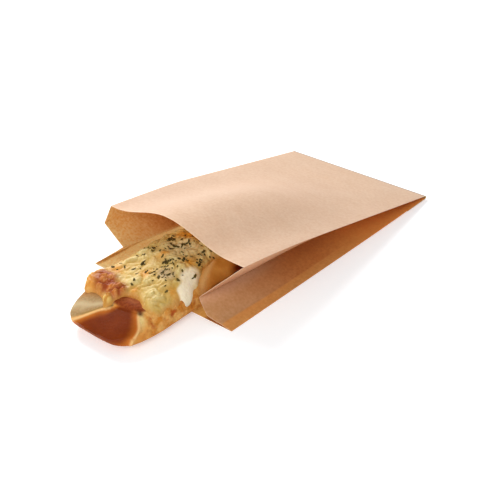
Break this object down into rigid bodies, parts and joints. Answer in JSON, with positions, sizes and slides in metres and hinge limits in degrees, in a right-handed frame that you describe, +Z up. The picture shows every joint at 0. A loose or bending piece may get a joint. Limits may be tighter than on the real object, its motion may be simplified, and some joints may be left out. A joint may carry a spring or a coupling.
{
  "type": "gusseted paper bag with a topped bread roll",
  "caption": "Flat side-gusset kraft paper bag lying down, its mouth held open by a bread roll with a herbed cheese topping that stands half out of it.",
  "frame": {"origin": "middle of the part's box, at the bottom, on the surface that the bag lies on", "axes": "+Z up from the surface; +Y from the bag's mouth towards its folded end, so the roll stands out along -Y; +X to the right when looking into the mouth"},
  "size_m": [0.15, 0.332, 0.0646],
  "materials": {
    "kraft_paper": "machine-glazed brown kraft paper, matt inside, faint fibre mottle",
    "bread_crust": "baked wheat crust, brushed with egg and satin on the nose, dry and rough on the flanks",
    "melted_cheese": "melted cheese and white sauce, baked until browned in spots, with dried herb flakes"
  },
  "bodies": {
    "root": {"paper_bag": "kraft_paper", "bread_roll": "bread_crust", "cheese_topping": "melted_cheese"}
  },
  "joints": []
}
